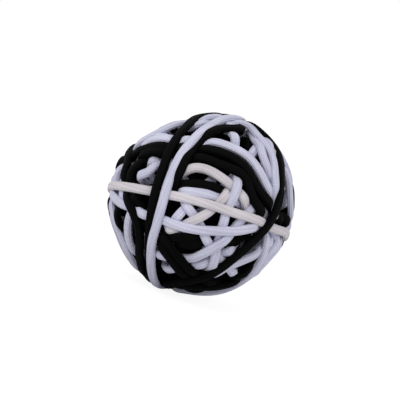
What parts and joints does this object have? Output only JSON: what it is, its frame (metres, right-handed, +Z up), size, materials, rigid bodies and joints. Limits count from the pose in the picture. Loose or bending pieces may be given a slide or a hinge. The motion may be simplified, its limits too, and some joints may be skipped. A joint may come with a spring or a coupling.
{
  "type": "rubber band ball",
  "caption": "Ball of closed elastic bands wound over one another round a core, in black and pale bands, which come off one at a time for use.",
  "frame": {"origin": "on the ground under the middle of the ball, where it stands", "axes": "+Z up; the side of the ball that the picture shows faces -Y"},
  "size_m": [0.0636, 0.0634, 0.0635],
  "materials": {
    "black": "matte",
    "white": "matte",
    "cream": "matte",
    "core": "matte"
  },
  "bodies": {
    "root": {"black_band_02": "black", "black_band_03": "black", "black_band_05": "black", "black_band_09": "black", "black_band_10": "black", "black_band_12": "black", "black_band_14": "black", "black_band_15": "black", "black_band_16": "black", "black_band_17": "black", "black_band_21": "black", "black_band_23": "black", "black_band_27": "black", "core": "core", "cream_band_04": "cream", "cream_band_25": "cream", "cream_band_26": "cream", "white_band_01": "white", "white_band_06": "white", "white_band_07": "white", "white_band_08": "white", "white_band_11": "white", "white_band_13": "white", "white_band_18": "white", "white_band_19": "white", "white_band_20": "white", "white_band_22": "white", "white_band_24": "white", "white_band_28": "white", "white_band_29": "white"}
  },
  "joints": []
}
